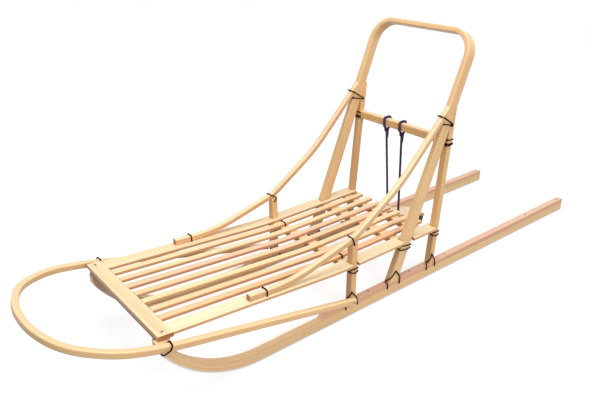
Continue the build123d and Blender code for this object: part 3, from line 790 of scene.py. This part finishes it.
brush_corners = [
    # back from the front along the slope, distance from the middle, bend radius
    (0.253, brush_side_y, 0.6),
    (0.14, brush_side_y - 0.015, 0.22),
    (0.0405, brush_side_y - 0.084, 0.18),
    (0.0, brush_side_y - 0.196, 0.3),
]
brush_front_x = brush_front - brush_rod / 2 * math.cos(brush_slant)
brush_end_x, brush_end_y, brush_end_drop = 0.366, 0.2257, 0.009
near_half = [(on_brush(brush_end_x, brush_end_y, -brush_end_drop), 0.0)]
for back, y, radius in brush_corners:
    near_half.append((on_brush(brush_front_x - back * math.cos(brush_slant), y), radius))
far_half = [(moved_y(point, -point.y), radius) for point, radius in reversed(near_half)]
finish = varnished_wood("brush_bow_ash", grain_swept, 71, bent_ash, 0.3, swept_ends, 0.6)
settings = {"Rod": brush_rod, "Edge": brush_edge, "Side": tuple(brush_up), "Finish": finish}
lines = path_mesh("brush_line", [route(near_half + far_half)])
brush_bow = grow("bent_brush_bow", lines, rod_tree, settings)
tidy_mesh(brush_bow.data)
brush_bow.data.set_sharp_from_angle(angle=crisp_angle)
add_piece(brush_bow, "ash", "brush_bow")
print(brush_bow.name, len(brush_bow.data.polygons), "faces")

# %% [markdown]
# ## Brush blocks
# The brush bow's arms stand off the runners' tips, and a small block fills the gap on each side. A scaled
# cube would need turning to the bow's slope. Eight corners set out along that slope are simpler: their
# convex hull is the block, and a bevel eases its edges as sandpaper would.

# %% Two blocks beside the runner tips
block_spans = {
    # side: rear end and front end along the sled
    "left": (0.972, 1.012),
    "right": (0.95, 0.985),
}
block_clearance, block_edge = 0.0001, 0.0012
for seed, (name, side) in enumerate(sides.items()):
    near_y, far_y = side * (outer_y + block_clearance), side * (brush_side_y - brush_rod / 2)
    shape = bmesh.new()
    for x in block_spans[name]:
        for y in (near_y, far_y):
            for height in (-brush_rod / 2, 0.0):
                shape.verts.new(on_brush(x, y, height))
    bmesh.ops.convex_hull(shape, input=shape.verts[:])
    bmesh.ops.dissolve_limit(shape, angle_limit=math.radians(1), verts=shape.verts[:], edges=shape.edges[:])
    bmesh.ops.bevel(shape, geom=shape.edges[:], offset=block_edge, segments=2, profile=0.5, affect="EDGES")
    mesh = bpy.data.meshes.new(f"spacer_block_{name}")
    shape.to_mesh(mesh)
    shape.free()
    tidy_mesh(mesh)
    finish = varnished_wood(
        f"brush_block_{name}_ash", grain_along_bed, 81 + seed, bent_ash, 0.8, painted_shade_share=0.4)
    mesh.materials.append(finish)
    block = bpy.data.objects.new(f"spacer_block_{name}", mesh)
    bpy.context.scene.collection.objects.link(block)
    add_piece(block, "ash", f"brush_block_{name}")
    print(block.name, len(mesh.polygons), "faces")

# %% [markdown]
# ## Twisted cord
# The lashings are thin dark cord of three strands laid together. A round tube with a painted twist looks
# like wire up close. Here the section is a clover of three lobes and the line's tilt turns it as it goes,
# so the strands are real. On a closed turn the tilt comes out at a whole number of thirds, and the lobes
# meet themselves at the join.

# %% Cord tree and finish
strands, lobe_depth = 3, 0.16
cord_steps, cord_sides = 5, 12
cord_tree, bench, start = start_tree("twisted_cord", "Thickness", "Pitch")
lay = start.twin("Pitch")
line = rounded_line(bench, start, cord_steps, lay * 0.1)
turns = bench.math("ROUND", bench.node("GeometryNodeSplineLength") / lay * strands) / strands
tilt = bench.node("GeometryNodeSplineParameter", out="Factor") * turns * (2 * math.pi)
line = bench.node("GeometryNodeSetCurveTilt", {}, {"Curve": line, "Tilt": tilt})
ring = bench.node("GeometryNodeCurvePrimitiveCircle", {}, {
    "Resolution": cord_sides, "Radius": start.twin("Thickness") * 0.5})
place = bench.node("GeometryNodeInputPosition")
x, y = bench.parts(place)[:2]
lobe = bench.math("COSINE", bench.math("ARCTAN2", y, x) * strands)
# the crest also sets where the finish paints shade into the grooves
ring = store(bench, ring, "crest", lobe * 0.5 + 0.5)
clover = bench.scale(place, lobe * lobe_depth + (1.0 - lobe_depth))
ring = bench.node("GeometryNodeSetPosition", {}, {"Geometry": ring, "Position": clover})
end_tree(bench, start, sweep(bench, line, ring))


def spun_finish(title, light, dark, fuzz_scale):
    """Dark thread: painted shade darkens the grooves between strands, and the crests carry loose fibres."""
    material, bench, shader = new_material(title)
    crest = bench.node("ShaderNodeAttribute", {"attribute_name": "crest"}, out="Fac")
    spot = bench.spot()
    fuzz = bench.noise(spot, fuzz_scale, detail=3.0)
    worn = bench.noise(spot, 60.0, detail=2.0)
    # painted shade: where the crest is low the thread takes the dark colour
    body = bench.mix(crest * 0.6 + (fuzz - 0.5) * 0.7 + (worn - 0.5) * 0.6, dark, light)
    bump = bench.bump(fuzz, strength=0.4, distance=0.0003)
    feed(bench, shader, Base_Color=body, Roughness=0.7 + (fuzz - 0.5) * 0.3, Normal=bump)
    feed(bench, shader, Specular_IOR_Level=0.06)
    return material


cord_finish = spun_finish("lashing_cord", colour(38, 22, 17), colour(8, 5, 4), 1800.0)
cord, cord_pitch = 0.0043, 0.0125
lie = cord / 2 + 0.0002  # from the wood's face to the cord's middle
print("cord tree has", len(cord_tree.nodes), "nodes")

# %% [markdown]
# ## The lashings
# Every joint of the sled is tied. At its foot a post is tied down: from a hole in the post the cord comes
# down over its front and rear edges and goes into the rail. Under the bed two turns hug each post, the
# lower one sagging a little. Each kind is a short function that lists the corners of its turns, and the
# tree does the rest.


# %% Foot lashings
def cord_turn(points, bend, closed=True):
    return points, [bend] * len(points), closed


foot_marks = {
    # post: lead of its hole, rise and y where the front strand turns, leads of the rail's two holes
    "front": (0.0085, 0.032, 0.191, 0.021, -0.005),
    "bow": (0.009, 0.021, 0.195, 0.0095, -0.0047),
    "rear": (0.0068, 0.018, 0.2, 0.0155, -0.0062),
}
foot_apex_rise, foot_rear_rise, foot_hole_z = 0.0375, 0.011, 0.031
foot_bend, foot_sink = 0.0022, 0.001


def foot_turns(post):
    """Strands from a hole in the post over its edges and down to the rail: two outside and one inside."""
    apex_lead, edge_rise, corner_y, front_lead, rear_lead = foot_marks[post]
    fore_x, aft_x = post_foot[post] + post_depth[post] / 2, post_foot[post] - post_depth[post] / 2
    apex_z, edge_z, rear_z = rail_top + foot_apex_rise, rail_top + edge_rise, rail_top + foot_rear_rise
    apex_x = post_x(post, apex_z) + apex_lead
    edge_x = post_x(post, edge_z) + post_depth[post] / 2 + lie
    rear_edge_x = post_x(post, rear_z) - post_depth[post] / 2 - foot_sink
    front_x, rear_x = fore_x + front_lead, aft_x + rear_lead
    out_y, in_y = outer_y + lie, inner_y - lie
    lines = [[
        at(apex_x, half_track, apex_z),
        at(apex_x, out_y, apex_z),
        at(edge_x, out_y, edge_z),
        at(fore_x + lie, corner_y, rail_top + lie + foot_sink),
        at(front_x, out_y, rail_top + lie),
        at(front_x, out_y, foot_hole_z),
        at(front_x, half_track, foot_hole_z),
    ]]
    for y, hole_x in ((out_y, apex_x), (in_y, apex_x - apex_lead)):
        lines.append([
            at(hole_x, half_track, apex_z),
            at(hole_x, y, apex_z),
            at(rear_edge_x, y, rear_z),
            at(rear_x, y, foot_hole_z),
            at(rear_x, half_track, foot_hole_z),
        ])
    return [cord_turn(line, foot_bend, closed=False) for line in lines]


print(len(foot_turns("front")), "strands at the foot of each post")

# %% Bed and crossbar lashings
post_bend = 0.0035
crossbar_z = 0.465


def post_turn(post, z, slope, sag):
    """A turn round a post: the slope tips it along the sled and the sag lets its outer side hang."""
    middle = post_x(post, z)
    half = post_depth[post] / 2 + lie
    tip = slope * half
    return cord_turn([
        at(middle + half, inner_y - lie, z + tip),
        at(middle + half, outer_y + lie, z + tip - sag * 0.4),
        at(middle, outer_y + lie + sag * 0.06, z - sag),
        at(middle - half, outer_y + lie, z - tip - sag * 0.5),
        at(middle - half, inner_y - lie, z - tip),
    ], post_bend)


def bed_turns(post):
    slope = post_lean[post] * 0.42
    return [
        post_turn(post, bed_z - 0.0085, slope, 0.0),
        post_turn(post, bed_z - 0.0170, slope * 0.5, 0.006),
    ]


def crossbar_turns():
    heights = [
        # above the crossbar's middle, slope, sag
        (0.0068, 0.08, 0.0),
        (-0.0055, 0.04, 0.0006),
        (-0.0092, -0.1, 0.0012),
    ]
    return [post_turn("rear", crossbar_z + rise, slope, sag) for rise, slope, sag in heights]


print(len(crossbar_turns()), "turns at each end of the crossbar")

# %% Handrail lashings
rail_bend = 0.004
rail_inner, rail_outer = handrail_y - handrail_half - lie, handrail_y + handrail_half + lie
end_lash_x = 0.676
handrail_points = handrail_line(0.0)[0]
rising = (handrail_points[2] - handrail_points[1]).normalized()
falling = (handrail_points[3] - handrail_points[2]).normalized()
knee_inward = (falling - rising).normalized()
knee_along = (falling + rising).normalized()
knee_depth = knee_radius * (1.0 / math.cos(rising.angle(falling) / 2) - 1.0)
knee_seat = handrail_points[2] + knee_inward * (knee_depth - handrail_half)
knee_hole, knee_back = at(0.3576, 0.0, 0.2414), 0.013


def knee_turns():
    """Over the handrail's knee and slanting back through a hole in the post."""
    top = knee_seat + knee_inward * (handrail_rod + lie) - knee_along * knee_back
    corners = [
        moved_y(top, rail_inner),
        moved_y(top, rail_outer),
        moved_y(knee_hole, rail_outer),
        moved_y(knee_hole, inner_y - lie),
        moved_y(knee_seat, inner_y - lie),
    ]
    return [cord_turn(corners, rail_bend)]


def handrail_end_turns():
    """A turn over the handrail's front end, through the slat under it and back."""
    high = side_slat_thickness + handrail_rod + lie
    section = [
        # across, height over the slat's underside
        (rail_inner, -lie),
        (rail_outer, -lie),
        (rail_outer, high),
        (rail_inner, high),
    ]
    return [cord_turn([on_bed(end_lash_x, y, height) for y, height in section], rail_bend)]


print("handrail lashed at", end_lash_x, "m and at its knee")

# %% Bow and brush lashings
vee_apex_x, vee_apex_z = -0.05, 0.52
vee_over_x, vee_over_z = 0.001, 0.5565
vee_under_z = 0.531
vee_part, vee_bend = 0.0016, 0.003
vee_knots, vee_knot_bend = (0.004, 0.0074), 0.002  # leads of the knot's two rings


def ring_points(middle, first, second):
    """Six points of an oval, from its middle and its two half axes."""
    angles = [math.radians(step * 60) for step in range(6)]
    return [middle + first * math.cos(t) + second * math.sin(t) for t in angles]


def bow_turns():
    """A vee of two turns that meet at a knot on the post, one over the handrail's end and one under it."""
    in_y = inner_y - lie
    under_x = post_x("bow", vee_under_z) + post_depth["bow"] / 2 + lie
    ends = [
        # along the sled, height, inner side, height at the knot
        (vee_over_x, vee_over_z, rail_inner, vee_apex_z + vee_part),
        (under_x, vee_under_z, in_y, vee_apex_z - vee_part),
    ]
    turns = []
    for x, z, inner, apex_z in ends:
        corners = [
            at(x, inner, z),
            at(x, rail_outer, z),
            at(vee_apex_x, outer_y + lie, apex_z),
            at(vee_apex_x, in_y, apex_z),
        ]
        turns.append(cord_turn(corners, vee_bend))
    for lead in vee_knots:
        middle = at(vee_apex_x + lead, outer_y + lie, vee_apex_z)
        ring = ring_points(middle, Vector((0.0, 0.0025, 0.0)), Vector((0.0, 0.0, 0.004)))
        turns.append(cord_turn(ring, vee_knot_bend))
    return turns


def brush_turns(lash_x):
    """A turn that winds forward round the brush bow's arm, its inner side let into the block."""
    reach = brush_rod / 2 + lie
    out_y, in_y = brush_side_y + reach, brush_side_y - reach
    corners = [
        # point, bend radius
        (on_brush(lash_x - 0.012, in_y, reach), 0.004),
        (on_brush(lash_x - 0.009, out_y, reach), 0.004),
        (on_brush(lash_x - 0.007, out_y, -0.001), 0.012),
        (on_brush(lash_x + 0.012, out_y, -reach), 0.005),
        (on_brush(lash_x + 0.014, in_y, -reach), 0.004),
    ]
    return [route(corners, closed=True)]


print("bow lashing has", len(bow_turns()), "turns")


# %% Slat and brake lashings
def ring_round(x0, x1, y0, y1, z0, z1):
    """A turn round a bar: across the sled if its x is one value, along the sled if its y is."""
    if x0 == x1:
        near, far = (x0, y0 - lie), (x0, y1 + lie)
    else:
        near, far = (x0 - lie, y0), (x1 + lie, y0)
    low, high = z0 - lie, z1 + lie
    return cord_turn([at(*near, low), at(*far, low), at(*far, high), at(*near, high)], rail_bend)


slat_width, slat_thickness, slat_pitch = 0.022, 0.012, 0.04767
front_bar_x, crosspiece_thickness = 0.3557, 0.018
lashed_rows = (-3, 3)
slat_turns = []
for row in lashed_rows:
    y0 = row * slat_pitch - slat_width / 2
    slat_turns.append(ring_round(
        front_bar_x, front_bar_x, y0, y0 + slat_width, bed_z, bed_z + slat_thickness))
hinge_x, hinge_reach = 0.0157, 0.012
brake_turns = [
    ring_round(hinge_x - hinge_reach, hinge_x + hinge_reach, y, y, bed_z - crosspiece_thickness, bed_z)
    for y in (slat_pitch / 2, -slat_pitch / 2)
]
print(len(slat_turns), "slats and", len(brake_turns), "hinge turns")

# %% Tie them all
brush_lash_x = {"left": 0.998, "right": 0.966}
left_turns = {
    "foot_lashing": [turn for post in post_foot for turn in foot_turns(post)],
    "bed_lashing": [turn for post in post_foot for turn in bed_turns(post)],
    "crossbar_lashing": crossbar_turns(),
    "handrail_front_lashing": handrail_end_turns(),
    "handrail_post_lashing": knee_turns(),
    "bow_lashing": bow_turns(),
}


def on_side(turns, side):
    """Turns made for the left side, moved to the side that is asked for."""
    moved = []
    for points, radii, closed in turns:
        moved.append(([moved_y(point, side * point.y) for point in points], radii, closed))
    return moved


all_turns = {"slat_lashing": slat_turns, "brake_lashing": brake_turns}
for lashing, turns in left_turns.items():
    for name, side in sides.items():
        all_turns[f"{lashing}_{name}"] = on_side(turns, side)
for name, side in sides.items():
    all_turns[f"brush_bow_lashing_{name}"] = on_side(brush_turns(brush_lash_x[name]), side)
cord_settings = {"Thickness": cord, "Pitch": cord_pitch, "Finish": cord_finish}
for lashing, turns in all_turns.items():
    piece = grow(f"cord_{lashing}", path_mesh(f"{lashing}_line", turns), cord_tree, cord_settings)
    tidy_mesh(piece.data)
    add_piece(piece, "lashing_cord", lashing)
    print(piece.name, len(turns), "turns,", len(piece.data.polygons), "faces")

# %% [markdown]
# ## Braided ropes
# Two tight ropes hold the brake board up. Each goes once round the crossbar, is tied to itself under it and
# ends in a knot below the board. A braid is strands that wind both ways and pass over each other: the
# height of the surface is the larger of two crossing waves, and the tree pushes a round tube out by that
# much.

# %% Rope tree and finish
rope_steps, rope_sides = 8, 20
braid_waves, braid_depth = 4.0, 0.08
rope_tree, bench, start = start_tree("braided_rope", "Thickness", "Weave")
weave, thickness = start.twin("Weave"), start.twin("Thickness")
line = rounded_line(bench, start, rope_steps, weave * 0.14)
line = store(bench, line, "along", bench.node("GeometryNodeSplineParameter", out="Length"))
ring = bench.node("GeometryNodeCurvePrimitiveCircle", {}, {
    "Resolution": rope_sides, "Radius": thickness * (0.5 - braid_depth / 2)})
x, y = bench.parts(bench.node("GeometryNodeInputPosition"))[:2]
ring = store(bench, ring, "round", bench.math("ARCTAN2", y, x))
swept = sweep(bench, line, ring)
turn, run = named(bench, "round") * braid_waves, named(bench, "along") / weave * (2 * math.pi)
wave = bench.math("MAXIMUM", bench.math("COSINE", turn + run), bench.math("COSINE", turn - run))
swept = store(bench, swept, "crest", wave * 0.5 + 0.5)
push = thickness * braid_depth * named(bench, "crest")
out = bench.scale(bench.node("GeometryNodeInputNormal"), push)
swept = bench.node("GeometryNodeSetPosition", {}, {"Geometry": swept, "Offset": out})
end_tree(bench, start, swept)
# painted shade: the finish darkens the rope where the weave's crest is low
rope_finish = spun_finish("braided_rope", colour(100, 80, 122), colour(36, 24, 50), 1400.0)
print("rope tree has", len(rope_tree.nodes), "nodes")

# %% Hitch the ropes
rope, rope_weave = 0.0074, 0.0068
rope_lie = rope / 2 + 0.0005
crossbar_depth, crossbar_height = 0.02, 0.028
bar_x = post_x("rear", crossbar_z)
brake_front_z, brake_drop, brake_thickness = 0.166, 0.28, 0.01
knot_tip = Vector((0.15, 0.25, 0.0))  # tips the knots' turns out of square to the rope


def knot_ring(middle, axis, radius):
    """A tight turn of rope round a point."""
    first = axis.orthogonal().normalized()
    second = axis.cross(first).normalized()
    return cord_turn(ring_points(middle, first * radius, second * radius), radius * 0.8)


def rope_lines(top_y, board_x, board_y):
    """A rope from its free end round the crossbar and down through the board, and its knots' turns."""
    front, back = bar_x + crossbar_depth / 2 + rope_lie, bar_x - crossbar_depth / 2 - rope_lie
    low, high = crossbar_z - crossbar_height / 2 - rope_lie, crossbar_z + crossbar_height / 2 + rope_lie
    hitch = at(bar_x + 0.002, top_y, low - 0.006)
    board = at(board_x, board_y, brake_front_z - (hinge_x - board_x) * brake_drop)
    down = (board - hitch).normalized()
    knot = board + down * (brake_thickness + rope)
    strand = [
        # point, bend radius
        (hitch + down * 0.03 + Vector((0.004, 0.006, 0.0)), 0.0),
        (hitch + Vector((-0.003, 0.004, 0.0)), 0.006),
        (at(back, top_y + 0.003, low + 0.008), 0.008),
        (at(back, top_y + 0.002, high), 0.008),
        (at(front, top_y, high), 0.008),
        (at(front, top_y, low + 0.006), 0.008),
        (hitch, 0.008),
        (knot + down * 0.014, 0.0),
    ]
    knots = [
        # middle, radius
        (hitch, 0.0048),
        (hitch + down * 0.006, 0.0044),
        (knot, 0.0046),
        (knot + down * 0.006, 0.0036),
    ]
    return [route(strand)] + [knot_ring(middle, down + knot_tip, radius) for middle, radius in knots]


ropes = {
    # rope: y at the crossbar, x and y at the brake board
    "left": (0.008, -0.046, 0.004),
    "right": (-0.063, -0.022, -0.026),
}
rope_settings = {"Thickness": rope, "Weave": rope_weave, "Finish": rope_finish}
for name, (top_y, board_x, board_y) in ropes.items():
    lines = path_mesh(f"rope_{name}_line", rope_lines(top_y, board_x, board_y))
    piece = grow(f"braided_rope_{name}", lines, rope_tree, rope_settings)
    tidy_mesh(piece.data)
    add_piece(piece, "hitch_rope", f"hitch_rope_{name}")
    print(piece.name, len(piece.data.polygons), "faces")

# %% [markdown]
# ## Screws
# Small screws hold the rails to the runners, the nose board to the runner tips and the brush bow's arms to
# the front posts. One head with a cross cut in it is enough: the tree sets a copy on every marked point,
# scaled by the point's size and turned to face outwards.

# %% Screw tree
head_sides, slot_long, slot_wide = 20, 1.3, 0.26  # the slots as shares of the head's radius
screw_tree, bench, start = start_tree("screws", "Radius", "Proud")
radius, proud = start.twin("Radius"), start.twin("Proud")
head = bench.node("GeometryNodeMeshCylinder", {}, {
    "Vertices": head_sides, "Radius": radius, "Depth": proud * 4.0}, out="Mesh")
cross = bench.node("GeometryNodeJoinGeometry")
for length, width in ((slot_long, slot_wide), (slot_wide, slot_long)):
    slot_size = bench.vector(radius * length, radius * width, proud * 2.0)
    bar = bench.node("GeometryNodeMeshCube", {}, {"Size": slot_size}, out="Mesh")
    lift = bench.vector(0.0, 0.0, proud * 2.0)
    bar = bench.node("GeometryNodeTransform", {}, {"Geometry": bar, "Translation": lift})
    bench.tree.links.new(bar.socket, cross.socket.node.inputs["Geometry"])
head = bench.node("GeometryNodeMeshBoolean", {"operation": "DIFFERENCE"}, {"Mesh 1": head, "Mesh 2": cross})
outwards = named(bench, "facing", "FLOAT_VECTOR")
turned = bench.node("FunctionNodeAlignRotationToVector", {"axis": "Z"}, {"Vector": outwards})
points = bench.node("GeometryNodeMeshToPoints", {}, {"Mesh": start})
heads = bench.node("GeometryNodeInstanceOnPoints", {}, {
    "Points": points, "Instance": head, "Rotation": turned, "Scale": named(bench, "size")})
end_tree(bench, start, heads)
print("screw tree has", len(screw_tree.nodes), "nodes")

# %% Screw places
screw_radius, screw_proud = 0.0046, 0.0007
rail_size, nose_size, arm_size = 1.0, 1.35, 1.2
rail_screws = (0.286, 0.1, -0.075, -0.54, -0.748)
nose_screw_x, nose_screw_y = 0.983, 0.208
nose_up = Vector((-math.sin(bed_angle), 0.0, math.cos(bed_angle)))
arm_screw_x = brush_end_x + 0.01
arm_screw_y = brush_end_y + 0.0005 + brush_rod / 2
places, facings, sizes = [], [], []


def mark_screw(place, direction, size):
    places.append(place)
    facings.extend(direction)
    sizes.append(size)


for side in sides.values():
    for x in rail_screws:
        mark_screw(at(x, side * half_track, rail_top), upwards, rail_size)
    mark_screw(on_bed(nose_screw_x, side * nose_screw_y, slat_thickness), nose_up, nose_size)
    mark_screw(on_brush(arm_screw_x, side * arm_screw_y, -brush_end_drop), (0.0, float(side), 0.0), arm_size)
marks = bpy.data.meshes.new("screw_marks")
marks.from_pydata(places, [], [])
marks.attributes.new("facing", "FLOAT_VECTOR", "POINT").data.foreach_set("vector", facings)
marks.attributes.new("size", "FLOAT", "POINT").data.foreach_set("value", sizes)
settings = {"Radius": screw_radius, "Proud": screw_proud, "Finish": screw_steel}
screws = grow("screws", marks, screw_tree, settings)
screws.data.set_sharp_from_angle(angle=math.radians(30))
add_piece(screws, "claw_steel")
print(len(places), "screws,", len(screws.data.polygons), "faces")
